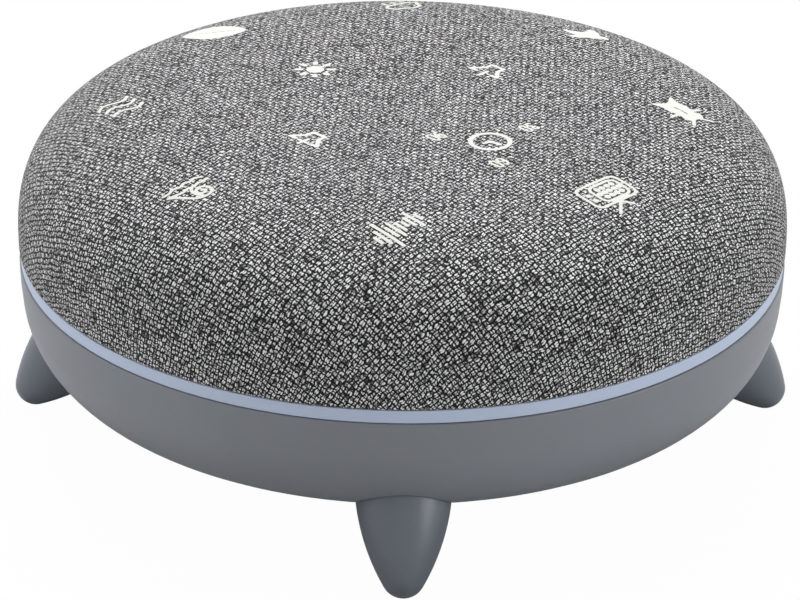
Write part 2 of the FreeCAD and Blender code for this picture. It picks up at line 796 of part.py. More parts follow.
def jack_pin():
    """Centre pin of the socket, standing on the floor of its bore."""
    return Part.makeCylinder(jack_pin_radius, jack_bore_depth - jack_pin_recess,
                             Vector(-jack_mouth + jack_pin_recess, 0, inlet_level), Vector(1, 0, 0))


def header(x, y, low, high):
    """Rectangular wire connector, long side across the wires."""
    long_side_across = abs(x) < abs(y)
    size = (header_length, header_depth) if long_side_across else (header_depth, header_length)
    return upright_block((x, y), size, low, high)


def soft_path(route):
    """Wire through a route: straight runs joined by arcs as large as the runs allow."""
    corners = [Vector(*place) for place in route]
    edges = []
    start = corners[0]
    for before, corner, after in zip(corners, corners[1:], corners[2:]):
        back = before - corner
        ahead = after - corner
        trim = 0.45 * min(back.Length, ahead.Length)
        half = back.getAngle(ahead) / 2
        enter = corner + back.normalize() * trim
        leave = corner + ahead.normalize() * trim
        inward = (enter + leave) * 0.5 - corner
        middle = corner + inward.normalize() * (trim / math.cos(half) - trim * math.tan(half))
        edges.append(Part.LineSegment(start, enter).toShape())
        edges.append(Part.Arc(enter, middle, leave).toShape())
        start = leave
    edges.append(Part.LineSegment(start, corners[-1]).toShape())
    return Part.Wire(edges)


def lead(route):
    """Insulated wire along a route."""
    path = soft_path(route)
    heading = Vector(*route[1]) - Vector(*route[0])
    section = Part.Wire(Part.Circle(Vector(*route[0]), heading, wire_radius).toShape())
    return path.makePipeShell([section], True, False)


def pair_of_leads(route, sideways):
    """Two like wires, each side of a route."""
    step = Vector(*sideways) * (wire_spacing / 2)
    return [lead([tuple(Vector(*place) + step * side) for place in route]) for side in (-1, 1)]


def touch_ribbon():
    """Flat cable between the two boards, with a gentle step in its middle."""
    low = main_board_level + board_thickness + ribbon_header_height
    high = touch_board_under - ribbon_header_height
    bend = (high - low) / 3
    path = soft_path([(0, main_ribbon_y, low), (0, main_ribbon_y, low + bend),
                      (0, touch_ribbon_y, high - bend), (0, touch_ribbon_y, high)])
    half = ribbon_width / 2
    thin = ribbon_thickness / 2
    corners = [Vector(-half, main_ribbon_y - thin, low), Vector(half, main_ribbon_y - thin, low),
               Vector(half, main_ribbon_y + thin, low), Vector(-half, main_ribbon_y + thin, low)]
    return path.makePipeShell([Part.makePolygon(corners + corners[:1])], True, False)


def grouped(solids):
    """Separate solids kept together as one node."""
    return Part.makeCompound(solids)


def electronics():
    """Boards with their parts, the socket and the wires between them."""
    top = main_board_level + board_thickness
    under = main_board_level - header_height
    nodes = {}
    nodes["main_board"] = main_board()
    seat = board_screw(top, board_post_circle, -1)
    nodes["main_board_screws"] = grouped(around(seat, post_azimuths))
    nodes["main_chips"] = grouped([
        upright_block(place, size, top, top + size[2]) for place, size in zip(chip_places, chip_sizes)
    ])
    nodes["capacitors"] = grouped([
        Part.makeCylinder(radius, height, Vector(*place, top))
        for radius, height, place in zip(capacitor_radii, capacitor_heights, capacitor_places)
    ])
    nodes["wire_headers"] = grouped([
        header(x, y, under, main_board_level)
        for x, y in ((0, -speaker_header_y), (-side_header_x, 0), (side_header_x, 0))
    ])
    nodes["touch_board"] = touch_board()
    seat = board_screw(touch_board_under, board_post_circle, 1)
    nodes["touch_board_screws"] = grouped(around(seat, post_azimuths))
    nodes["touch_pads"] = grouped(touch_pads())
    nodes["touch_chip"] = upright_block(touch_chip_place, touch_chip_size,
                                        touch_board_under - touch_chip_size[2], touch_board_under)
    nodes["ribbon_headers"] = grouped([
        header(0, main_ribbon_y, top, top + ribbon_header_height),
        header(0, touch_ribbon_y, touch_board_under - ribbon_header_height, touch_board_under),
    ])
    nodes["touch_ribbon"] = touch_ribbon()
    nodes["led_board"] = led_board()
    nodes["leds"] = grouped(leds())
    nodes["power_jack"] = power_jack()
    nodes["jack_pin"] = jack_pin()

    middle = (speaker_opening_radius + speaker_radius) / 2
    tag = speaker_face + basket_sheet + terminal_height
    nodes["speaker_leads"] = grouped(pair_of_leads([
        (0, -middle, tag), (0, -middle, tag + tag_run),
        (0, -speaker_header_y, under - header_run), (0, -speaker_header_y, under)], (1, 0, 0)))
    back = -jack_pad_face + jack_length
    nodes["jack_leads"] = grouped(pair_of_leads([
        (back, 0, inlet_level), (back + jack_run, 0, inlet_level),
        (-side_header_x, 0, inlet_level + jack_rise), (-side_header_x, 0, under)], (0, 1, 0)))
    pad = led_board_inside + led_pad_inset
    board_low = led_board_level - board_thickness
    nodes["led_leads"] = grouped(pair_of_leads([
        (pad, 0, board_low), (pad, 0, board_low - tag_run),
        (side_header_x, 0, under - led_header_run), (side_header_x, 0, under)], (0, 1, 0)))
    return nodes


def all_nodes():
    """Every sub-part by name."""
    nodes = {
        "fabric_cover": fabric_cover(),
        "top_dome": top_dome(),
        "light_ring": light_ring(),
        "lower_shell": lower_shell(),
    }
    for name, azimuth in zip(leg_names, leg_azimuths):
        nodes[name] = leg(azimuth)
    nodes["leg_screws"] = grouped([on_leg_axis(leg_screw(), a) for a in leg_azimuths])
    nodes["housing_screws"] = grouped(around(housing_screw(), housing_azimuths))
    nodes["speaker_grille"] = speaker_grille()
    nodes["speaker_basket"] = speaker_basket()
    nodes.update(magnet_parts())
    nodes.update(moving_parts())
    nodes["surround"] = surround()
    nodes["spider"] = spider()
    nodes["speaker_gasket"] = speaker_gasket()
    nodes["speaker_screws"] = grouped(around(speaker_screw(), speaker_screw_azimuths))
    nodes["speaker_terminals"] = speaker_terminals()
    nodes.update(electronics())
    return nodes


for name, shape in all_nodes().items():
    shape.exportStep("parts/" + name + ".step")
    print(name, len(shape.Solids), "solids, valid:", shape.isValid())
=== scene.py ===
import math

import bpy
import numpy as np
from mathutils import Matrix, Vector


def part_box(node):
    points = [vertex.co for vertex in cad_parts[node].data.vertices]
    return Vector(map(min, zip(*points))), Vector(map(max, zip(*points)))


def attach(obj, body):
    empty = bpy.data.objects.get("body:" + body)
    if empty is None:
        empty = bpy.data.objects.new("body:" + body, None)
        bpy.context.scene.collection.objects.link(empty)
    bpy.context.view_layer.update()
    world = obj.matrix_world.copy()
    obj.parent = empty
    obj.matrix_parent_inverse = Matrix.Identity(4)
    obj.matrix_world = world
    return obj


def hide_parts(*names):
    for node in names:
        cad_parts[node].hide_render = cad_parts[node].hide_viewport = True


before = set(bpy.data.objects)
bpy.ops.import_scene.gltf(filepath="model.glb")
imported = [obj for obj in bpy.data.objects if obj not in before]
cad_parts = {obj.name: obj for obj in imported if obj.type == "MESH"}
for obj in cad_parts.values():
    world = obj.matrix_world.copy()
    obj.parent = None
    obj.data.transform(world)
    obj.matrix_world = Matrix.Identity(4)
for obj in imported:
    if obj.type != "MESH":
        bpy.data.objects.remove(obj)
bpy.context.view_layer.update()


# The camera stands where the photographer stood, off the set's rear right corner, and looks down on
# it through a long lens. The picture is tipped and leans by less than a degree.
picture_width = 800
focal_in_pixels = 3253.5
sensor_mm = 36.0
stand_off = 0.6413
look_down = math.radians(25.45)
aim_lower = math.radians(1.014)
aim_left = math.radians(0.03)
lean = math.radians(0.6)
picture_turn = math.radians(134.36)
seam_level = 0.0359

lens = bpy.data.cameras.new("photo_camera")
lens.sensor_width = sensor_mm
lens.lens = focal_in_pixels * sensor_mm / picture_width
lens.clip_start = 0.01
camera = bpy.data.objects.new("photo_camera", lens)
bpy.context.scene.collection.objects.link(camera)
eye = Vector((0, -stand_off * math.cos(look_down), stand_off * math.sin(look_down)))
camera.matrix_world = (
    Matrix.Translation((0, 0, seam_level))
    @ Matrix.Rotation(picture_turn, 4, "Z")
    @ Matrix.Translation(eye)
    @ Matrix.Rotation(math.pi / 2 - look_down - aim_lower, 4, "X")
    @ Matrix.Rotation(aim_left, 4, "Y")
    @ Matrix.Rotation(lean, 4, "Z")
)
bpy.context.scene.camera = camera


# The cover is one disc of heathered cloth, woven two threads by two. It is pulled over the moulded
# dome, and its edge is turned in under the rim and glued there, on top of the light ring.
class Signal:
    """One output of a shader node, so that shader maths reads as plain expressions."""

    def __init__(self, out):
        self.out = out

    def node(self, kind, settings, inputs, output=0):
        """Any other node: its type, its settings, then the values or links of its sockets."""
        tree = self.out.id_data
        made = tree.nodes.new(kind)
        for name, value in settings.items():
            if name == "stops":
                ramp = made.color_ramp.elements
                while len(ramp) < len(value):
                    ramp.new(1)
                for element, (place, tone) in zip(ramp, value):
                    element.position = place
                    element.color = (*tone, 1)
            else:
                setattr(made, name, value)
        for name, value in inputs.items():
            if isinstance(value, Signal):
                tree.links.new(value.out, made.inputs[name])
            else:
                made.inputs[name].default_value = value
        return Signal(made.outputs[output])

    def math(self, operation, other=0.0):
        return self.node("ShaderNodeMath", {"operation": operation}, {0: self, 1: other})

    def __add__(self, other):
        return self.math("ADD", other)

    __radd__ = __add__

    def __sub__(self, other):
        return self.math("SUBTRACT", other)

    def __rsub__(self, other):
        return self * -1 + other

    def __mul__(self, other):
        return self.math("MULTIPLY", other)

    __rmul__ = __mul__

    def __truediv__(self, other):
        return self.math("DIVIDE", other)

    def part(self, axis):
        """One of the three numbers in a vector."""
        return self.node("ShaderNodeSeparateXYZ", {}, {0: self}, "XYZ".index(axis))

    def blend(self, low, high):
        """From the colour or vector low to high, as this value goes from 0 to 1."""
        return self.node("ShaderNodeMix", {"data_type": "RGBA"}, {0: self, 6: low, 7: high}, 2)

    def spread(self, from_low, from_high, to_low, to_high):
        """This value, taken from one range to another and held there."""
        return self.node(
            "ShaderNodeMapRange",
            {"clamp": True},
            {0: self, 1: from_low, 2: from_high, 3: to_low, 4: to_high},
        )


def new_finish(name, **fixed):
    """A material with a Principled shader, and where a point lies on the set, in metres."""
    material = bpy.data.materials.new(name)
    material.use_nodes = True
    shader = material.node_tree.nodes["Principled BSDF"]
    for socket, value in fixed.items():
        shader.inputs[socket.replace("_", " ")].default_value = value
    place = Signal(material.node_tree.nodes.new("ShaderNodeTexCoord").outputs["Object"])
    return material, shader, place


def feed(shader, socket, signal):
    """Join a signal to one socket of a shader."""
    shader.id_data.links.new(signal.out, shader.inputs[socket])


def linear(red, green, blue):
    """A screen colour, 0 to 255, as the light that a surface sends back."""
    screen = [value / 255 for value in (red, green, blue)]
    light = [v / 12.92 if v < 0.04045 else ((v + 0.055) / 1.055) ** 2.4 for v in screen]
    return (*light, 1.0)


cloth_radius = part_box("fabric_cover")[1].x
cloth_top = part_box("fabric_cover")[1].z
cloth_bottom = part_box("fabric_cover")[0].z
cloth_thickness = 0.0008
rim_height = 0.0053
crown_bottom = seam_level + rim_height
inner_gap = 0.0001
hem_width = 0.0044
shoulder_squareness = 6.0
crown_fullness = 2.426
row_step = 0.0008
cloth_facets = 288
column_pitch = 0.00104
row_pitch = 0.00092


def evenly(points, step):
    """The same line with its points a step apart."""
    points = np.asarray(points, float)
    run = np.concatenate(([0], np.cumsum(np.linalg.norm(np.diff(points, axis=0), axis=1))))
    places = np.linspace(0, run[-1], max(2, int(round(run[-1] / step)) + 1))
    return np.stack([np.interp(places, run, points[:, k]) for k in (0, 1)], axis=1)


def arc(centre, radius, start, end, steps=8):
    """Points on a round corner, angles in degrees."""
    angles = np.radians(np.linspace(start, end, steps + 1))
    return [(centre[0] + radius * math.cos(a), centre[1] + radius * math.sin(a)) for a in angles]


crown_samples = 40001
swing = np.linspace(math.pi / 2, 0, crown_samples)
crown_line = np.stack(
    [
        cloth_radius * np.cos(swing) ** (2 / shoulder_squareness),
        crown_bottom + (cloth_top - crown_bottom) * np.sin(swing) ** (2 / crown_fullness),
    ],
    axis=1,
)
crown_line[0] = (0, cloth_top)
crown_outside = evenly(crown_line, row_step)
slope = np.gradient(crown_outside, axis=0)
slope /= np.linalg.norm(slope, axis=1)[:, None]
crown_inside = crown_outside + cloth_thickness * np.stack([slope[:, 1], -slope[:, 0]], axis=1)
crown_inside[0] = (0, cloth_top - cloth_thickness)
hem_centre = (cloth_radius - cloth_thickness, cloth_bottom + cloth_thickness)
hem_end = (cloth_radius - hem_width, cloth_bottom + cloth_thickness / 2)
cover_line = np.concatenate(
    [
        crown_outside,
        arc(hem_centre, cloth_thickness, 0, -90),
        arc(hem_end, cloth_thickness / 2, -90, -270),
        [(cloth_radius - cloth_thickness - inner_gap, cloth_bottom + cloth_thickness)],
        crown_inside[::-1],
    ]
)
cover_run = np.concatenate(
    ([0], np.cumsum(np.linalg.norm(np.diff(cover_line, axis=0), axis=1)))
)
cover_run = np.minimum(cover_run, cover_run[-1] - cover_run)
crown_run = cover_run[: len(crown_outside)]


def add_mesh(name, points, faces, finish, cloth_places=None):
    """A new piece, with the cloth's own flat coordinates where it has them."""
    mesh = bpy.data.meshes.new(name)
    mesh.from_pydata([tuple(p) for p in points], [], faces)
    mesh.polygons.foreach_set("use_smooth", [True] * len(mesh.polygons))
    if cloth_places is not None:
        flat = mesh.attributes.new("cloth_place", "FLOAT_VECTOR", "POINT")
        flat.data.foreach_set("vector", np.asarray(cloth_places, np.float32).ravel())
    mesh.materials.append(finish)
    mesh.update()
    piece = bpy.data.objects.new(name, mesh)
    bpy.context.scene.collection.objects.link(piece)
    return piece


drift_scale = 260.0
drift_in_pitches = 0.9
wobble_scale = 1100.0
wobble_in_pitches = 0.6
thread_roundness = 0.55
pair_roundness = 0.45
warp_size = 0.52
warp_crimp = 0.36
weft_size = 0.58
weft_crimp = 0.42
shade_length = 0.8
shade_step = 7.31
warp_seed = 3.7
weft_seed = 41.3
weft_lighter = 0.015


def weave(place):
    """A hopsack weave, two threads by two: its height from 0 to 1, and the shade on top."""
    flat = place.node("ShaderNodeAttribute", {"attribute_name": "cloth_place"}, {}, 1)
    drift = flat.node(
        "ShaderNodeTexNoise", {}, {"Vector": flat, "Scale": drift_scale, "Detail": 1.0}, 1
    )
    wobble = flat.node(
        "ShaderNodeTexNoise", {}, {"Vector": flat, "Scale": wobble_scale, "Detail": 0.0}, 1
    )

    def in_pitches(axis, pitch):
        straight = flat.part(axis) / pitch
        return (
            straight + drift.part(axis) * drift_in_pitches + wobble.part(axis) * wobble_in_pitches
        )

    across = in_pitches("X", column_pitch)
    along = in_pitches("Y", row_pitch)
    column_side = (across.math("FLOOR") * math.pi).math("COSINE")
    row_side = (along.math("FLOOR") * math.pi).math("COSINE")
    column = (across * 2).math("FLOOR")
    row = (along * 2).math("FLOOR")

    def pair_profile(run, thread):
        in_thread = (run * 2 - thread - 0.5) * 2
        in_pair = (run - run.math("FLOOR") - 0.5) * 2
        return (
            1
            - in_thread * in_thread * thread_roundness
            - (in_pair * in_pair).math("POWER", 2) * pair_roundness
        )

    warp_high = (
        pair_profile(across, column) * warp_size
        + column_side * ((along - 0.5) * math.pi).math("COSINE") * warp_crimp
    )
    weft_high = (
        pair_profile(along, row) * weft_size
        - row_side * ((across - 0.5) * math.pi).math("COSINE") * weft_crimp
    )
    warp_on_top = warp_high.math("GREATER_THAN", weft_high)
    height = warp_high.math("MAXIMUM", weft_high).spread(-0.1, 1.0, 0.0, 1.0)

    def shade_along(number, length, seed):
        where = length.node(
            "ShaderNodeCombineXYZ",
            {},
            {0: number * shade_step, 1: length * shade_length, 2: seed},
        )
        return where.node(
            "ShaderNodeTexNoise", {}, {"Vector": where, "Scale": 1.0, "Detail": 1.5}
        )

    warp_shade = shade_along(column, along, warp_seed)
    weft_shade = shade_along(row, across, weft_seed) + weft_lighter
    shade = weft_shade + (warp_shade - weft_shade) * warp_on_top
    return height, shade


heather, shader, place = new_finish(
    "heather_cloth", Roughness=0.92, Sheen_Weight=0.1, Sheen_Roughness=0.4
)
shader.inputs["Specular IOR Level"].default_value = 0.2
height, shade = weave(place)
fibre_scale = 5200.0
patch_scale = 140.0
fibre_share = 0.3
patch_share = 0.05
gap_bottom = 0.69
gap_top = 0.85
gap_painted_shade = (0.004, 0.004, 0.005, 1)
weave_depth = 0.0004
fibre = place.node(
    "ShaderNodeTexNoise", {}, {"Vector": place, "Scale": fibre_scale, "Detail": 2.0}
)
patch = place.node(
    "ShaderNodeTexNoise", {}, {"Vector": place, "Scale": patch_scale, "Detail": 2.0}
)
tone = shade + (fibre - 0.5) * fibre_share + (patch - 0.5) * patch_share
yarn = tone.node(
    "ShaderNodeValToRGB",
    {
        "stops": [
            (0.36, (0.09, 0.09, 0.095)),
            (0.44, (0.52, 0.52, 0.53)),
            (0.52, (0.95, 0.95, 0.96)),
            (0.6, (1.0, 1.0, 1.0)),
        ]
    },
    {0: tone},
)
# Where the weave is low, between the threads, the cloth is painted near black: painted shade in the
# gaps, standing in for the threads' own shadows.
on_thread = (height + (fibre - 0.5) * 0.5).spread(gap_bottom, gap_top, 0.0, 1.0)
feed(shader, "Base Color", on_thread.blend(gap_painted_shade, yarn))
relief = height.node(
    "ShaderNodeBump",
    {},
    {"Strength": 1.0, "Distance": weave_depth, "Height": height + fibre * 0.2},
)
feed(shader, "Normal", relief)

cover_points = []
cover_places = []
turns = np.linspace(0, 2 * math.pi, cloth_facets, endpoint=False)
for (radius, level), run in zip(cover_line, cover_run):
    if radius < 1e-9:
        cover_points.append((0, 0, level))
        cover_places.append((0, 0, 0))
        continue
    ring = np.stack([np.cos(turns), np.sin(turns), np.zeros(cloth_facets)], axis=1)
    cover_points.extend(ring * radius + (0, 0, level))
    cover_places.extend(ring * run)
last_point = len(cover_points) - 1
cover_rows = len(cover_line) - 2
cover_faces = []
for k in range(cloth_facets):
    step = (k + 1) % cloth_facets
    cover_faces.append((0, 1 + k, 1 + step))
    for row in range(cover_rows - 1):
        first = 1 + row * cloth_facets
        second = first + cloth_facets
        cover_faces.append((first + k, second + k, second + step, first + step))
    last_row = 1 + (cover_rows - 1) * cloth_facets
    cover_faces.append((last_row + k, last_point, last_row + step))
cover = add_mesh("cloth_cover", cover_points, cover_faces, heather, cover_places)
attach(cover, "housing")
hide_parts("fabric_cover")


# The touch signs are one thin layer of warm white ink, printed on the cloth through a screen. Each
# sign is upright for someone at the front of the set, and stands over its own touch pad.
ink_lift = 0.00006
ink_spread = 0.07
ink_cell = 0.12
sign_reach = 8
stroke_width = 0.75


def stroke(points, width=stroke_width, closed=False):
    """How far a place is outside a line drawn with a round pen, in millimetres."""
    points = np.asarray(points, float)
    if closed:
        points = np.concatenate([points, points[:1]])

    def outside(x, y):
        best = np.full(x.shape, 1e9)
        for (x0, y0), (x1, y1) in zip(points[:-1], points[1:]):
            dx = x1 - x0
            dy = y1 - y0
            share = ((x - x0) * dx + (y - y0) * dy) / max(dx * dx + dy * dy, 1e-12)
            share = np.clip(share, 0, 1)
            best = np.minimum(best, np.hypot(x - x0 - share * dx, y - y0 - share * dy))
        return best - width / 2

    return outside


def filled(points):
    """How far a place is outside a filled outline."""
    points = np.asarray(points, float)
    edge = stroke(points, 0, closed=True)

    def outside(x, y):
        inside = np.zeros(x.shape, bool)
        for (x0, y0), (x1, y1) in zip(points, np.roll(points, -1, axis=0)):
            crosses = (y0 > y) != (y1 > y)
            height = y1 - y0 if y1 != y0 else 1e-12
            inside ^= crosses & (x < x0 + (y - y0) * (x1 - x0) / height)
        distance = edge(x, y)
        return np.where(inside, -distance, distance)

    return outside


def disc(x0, y0, radius):
    """How far a place is outside a round dot."""
    return lambda x, y: np.hypot(x - x0, y - y0) - radius


def together(*shapes):
    """The shapes as one."""
    return lambda x, y: np.minimum.reduce([shape(x, y) for shape in shapes])


def without(shape, *cuts):
    """The shape with the cuts taken out."""
    cut = together(*cuts)
    return lambda x, y: np.maximum(shape(x, y), -cut(x, y))


def moved(shape, dx, dy, turn=0.0, scale=1.0):
    """The shape turned by degrees, scaled and then shifted."""
    c = math.cos(math.radians(turn))
    s = math.sin(math.radians(turn))

    def outside(x, y):
        u = (x - dx) / scale
        v = (y - dy) / scale
        return shape(c * u + s * v, c * v - s * u) * scale

    return outside


def curved(points, closed=False, steps=8):
    """A smooth line through a few points."""
    points = np.asarray(points, float)
    count = len(points)
    line = []
    for k in range(count if closed else count - 1):
        if closed:
            a, b, c, d = (points[(k + j) % count] for j in (-1, 0, 1, 2))
        else:
            b, c = points[k], points[k + 1]
            a = points[k - 1] if k else b
            d = points[k + 2] if k + 2 < count else c
        for t in np.arange(steps) / steps:
            line.append(
                0.5 * (2 * b + (c - a) * t + (2 * a - 5 * b + 4 * c - d) * t**2
                       + (3 * b - a - 3 * c + d) * t**3)
            )
    if not closed:
        line.append(points[-1])
    return line


def wave_line(x0, x1, y, swell):
    """One whole wave from x0 to x1."""
    xs = np.linspace(x0, x1, 25)
    return [(x, y + swell * math.sin(2 * math.pi * (x - x0) / (x1 - x0))) for x in xs]


def circle_line(x0, y0, radius, start=0, end=360, steps=36):
    """Points on a circle or a part of one, angles in degrees."""
    angles = np.radians(np.linspace(start, end, steps + 1))
    return [(x0 + radius * math.cos(a), y0 + radius * math.sin(a)) for a in angles]


def sound_bars():
    lengths = (1.9, 4.2, 8.2, 3.1, 4.7, 2.7, 1.5, 2.9, 5.3, 1.9)
    spacing = 1.11
    bars = []
    for k, length in enumerate(lengths):
        x = (4.5 - k) * spacing
        bars.append(stroke([(x, -length / 2), (x, length / 2)], 0.55))
    return together(*bars)


def rounded_frame(left, bottom, right, top, corner):
    """A closed line with four round corners."""
    line = []
    corners = (
        (right - corner, top - corner, 0),
        (left + corner, top - corner, 90),
        (left + corner, bottom + corner, 180),
        (right - corner, bottom + corner, 270),
    )
    for x, y, start in corners:
        line += circle_line(x, y, corner, start, start + 90, 6)
    return line


def television():
    case = stroke(rounded_frame(-5.85, -4.0, 4.75, 2.75, 1.5), 0.5, closed=True)
    screen = stroke(rounded_frame(-4.75, -3.1, 2.1, 2.0, 1.4), 0.5, closed=True)
    even_row = (-3.35, -2.05, -0.75, 0.55)
    odd_row = (-3.95, -2.7, -1.4, -0.1, 1.15)
    dots = [
        disc(x, y, 0.56)
        for y, row in ((0.75, even_row), (-0.55, odd_row), (-1.85, even_row))
        for x in row
    ]
    knobs = [disc(3.45, 0.45, 0.5), disc(3.45, -1.3, 0.5)]
    ears = [stroke([(-0.5, 3.0), (2.3, 5.5)], 0.5), stroke([(-0.5, 3.0), (-2.2, 4.7)], 0.5)]
    return together(case, screen, *dots, *knobs, *ears)


def cricket():
    body = filled(curved([(0, 4.2), (1.5, 4.3), (2.4, 3.2), (1.9, 1.4), (2.5, -0.4), (2.3, -2.6),
                          (2.9, -5.0), (1.0, -3.9), (0, -3.5), (-1.0, -3.9), (-3.1, -5.2),
                          (-2.4, -2.8), (-2.7, -0.6), (-1.9, 1.3), (-2.5, 3.1), (-1.5, 4.3)],
                         closed=True))
    wing_gap = stroke([(0, 1.6), (0, -1.5)], 0.45)
    limbs = []
    for side in (-1, 1):
        limbs.append(stroke([(side * 1.9, 1.2), (side * 4.0, 1.25)], 0.6))
        limbs.append(stroke([(side * 0.6, 3.9), (side * 2.8, 5.8)], 0.55))
    return together(without(body, wing_gap), *limbs)


def bird():
    body = filled(curved([(4.8, 0.9), (3.3, 2.1), (1.6, 1.6), (-0.8, 1.2), (-3.2, 0.0),
                          (-5.4, -0.9), (-3.0, -1.9), (-0.6, -2.0), (1.8, -1.5), (3.4, -0.2)],
                         closed=True))
    near_wing = filled(curved([(1.8, 0.6), (0.8, 3.4), (-2.0, 4.8), (-1.6, 2.6), (-1.4, 0.4)],
                              closed=True))
    far_wing = filled(curved([(1.2, -0.8), (0.4, -2.8), (-2.2, -4.0), (-1.4, -2.0), (-1.0, -0.6)],
                             closed=True))
    return together(body, near_wing, far_wing)


def rain_cloud():
    cloud = curved([(-4.6, -1.4), (-5.0, 0.4), (-3.6, 1.7), (-2.6, 3.6), (0.2, 4.2), (2.4, 2.9),
                    (4.4, 2.2), (5.2, 0.4), (4.2, -1.4), (0, -1.6)], closed=True)
    drops = [stroke([(x, -2.9), (x - 0.6, -4.6)], 0.7) for x in (-2.7, 0.2, 3.1)]
    return together(stroke(cloud, 0.85, closed=True), *drops)


def leaf():
    blade = filled(curved([(-4.7, 4.7), (-0.2, 4.9), (3.7, 2.9), (5.1, -1.0), (4.4, -4.4),
                           (0.9, -5.1), (-3.0, -3.7), (-4.9, 0.2)], closed=True))
    return without(blade, stroke(curved([(-2.6, 2.6), (0.4, -0.2), (2.6, -2.6)]), 0.3))


def wind_lines():
    return together(*[
        stroke(wave_line(slip - 3.55, slip + 3.55, level, 0.85), 0.62)
        for level, slip in ((2.65, 0.3), (0.0, 0.0), (-2.5, -0.3))
    ])


def breaking_wave():
    back = curved([(-3.1, 2.6), (-2.9, 3.5), (-1.8, 4.1), (-0.4, 4.0), (0.9, 3.1), (1.9, 1.3),
                   (2.7, -0.2), (3.6, -1.3)])
    curl = curved([(-3.1, 2.6), (-2.9, 1.6), (-2.0, 0.9), (-1.0, 1.2), (-0.6, 2.2), (-1.3, 3.0),
                   (-2.1, 2.6), (-1.8, 1.9)])
    face = curved([(-0.5, 3.4), (-0.1, 2.2), (-0.3, 0.8), (-1.1, -0.2)])
    water = curved([(-5.1, -0.4), (-4.0, -0.1), (-2.9, -0.4), (-1.7, -0.1), (-0.5, -0.5),
                    (0.8, -0.3), (2.2, -0.8), (3.6, -1.3)])
    foot = curved([(-4.8, -1.5), (-3.7, -2.3), (-2.5, -2.0), (-1.3, -2.5), (0.0, -2.1),
                   (1.3, -2.7), (2.5, -2.3), (3.7, -2.6)])
    return together(*[stroke(line, 0.5) for line in (back, curl, face, water, foot)])


def loudspeaker(*mark):
    horn = [(1.3, 2.3), (1.3, 4.0), (-1.3, 1.75), (-3.3, 1.75), (-3.3, -1.75), (-1.3, -1.75),
            (1.3, -4.0), (1.3, -2.3)]
    return together(stroke(horn, 0.78), *mark)


def clock_face():
    hands = stroke([(1.4, -0.2), (0, 0), (-0.3, 2.2)], 0.72)
    return together(stroke(circle_line(0, 0, 3.72), 0.78), hands)


def sun():
    rays = []
    for k in range(8):
        a = math.radians(45 * k)
        rays.append(
            stroke([(2.7 * math.cos(a), 2.7 * math.sin(a)), (3.4 * math.cos(a), 3.4 * math.sin(a))],
                   0.9)
        )
    return together(disc(0, 0, 1.6), *rays)


def digit(sign):
    """A plain narrow figure, 1.4 mm wide and 3.3 mm tall, drawn with one pen."""
    pen = 0.42
    if sign == "0":
        return stroke(curved([(0, 1.45), (0.5, 1.0), (0.5, -1.0), (0, -1.45), (-0.5, -1.0),
                              (-0.5, 1.0)], closed=True), pen, closed=True)
    if sign == "3":
        return stroke(curved([(-0.5, 1.2), (0.05, 1.45), (0.5, 0.8), (0.0, 0.1), (0.5, -0.75),
                              (0.0, -1.45), (-0.55, -1.15)]), pen)
    six = together(
        stroke(curved([(0, 0.05), (0.5, -0.4), (0.5, -1.05), (0, -1.45), (-0.5, -1.05),
                       (-0.5, -0.4)], closed=True), pen, closed=True),
        stroke(curved([(0.45, 1.35), (-0.15, 1.15), (-0.5, 0.4), (-0.5, -0.7)]), pen),
    )
    return six if sign == "6" else moved(six, 0, 0, turn=180)


def number(signs):
    return together(*[moved(digit(s), 1.75 * (k - 0.5), 0) for k, s in enumerate(signs)])


plus_mark = (stroke([(0.1, 0), (2.7, 0)], 0.72), stroke([(1.4, -1.3), (1.4, 1.3)], 0.72))
minus_mark = (stroke([(0.3, 0.1), (2.9, 0.1)], 0.78),)
# Each sign with its place from the middle in millimetres, its size and its turn
signs = [
    (breaking_wave(), 55.6, -0.5, 1.0, 0),
    (sound_bars(), 39.6, 37.7, 1.0, 0),
    (television(), 2.2, 54.1, 1.0, 0),
    (cricket(), -36.9, 38.6, 1.0, 0),
    (bird(), -53.0, 0.1, 0.96, 100),
    (rain_cloud(), -38.1, -37.9, 0.8, 0),
    (leaf(), 0.4, -54.0, 1.0, 0),
    (wind_lines(), 38.9, -38.4, 1.0, 0),
    (loudspeaker(*plus_mark), 26.5, 0.9, 0.9, 0),
    (clock_face(), 2.7, 25.4, 1.0, 0),
    (loudspeaker(*minus_mark), -22.0, 1.5, 0.9, 0),
    (sun(), 1.75, -22.8, 1.05, 0),
    (number("30"), -7.4, 26.0, 1.0, 0),
    (number("60"), 8.4, 33.2, 1.0, 0),
    (number("90"), 8.25, 16.65, 1.0, 0),
]

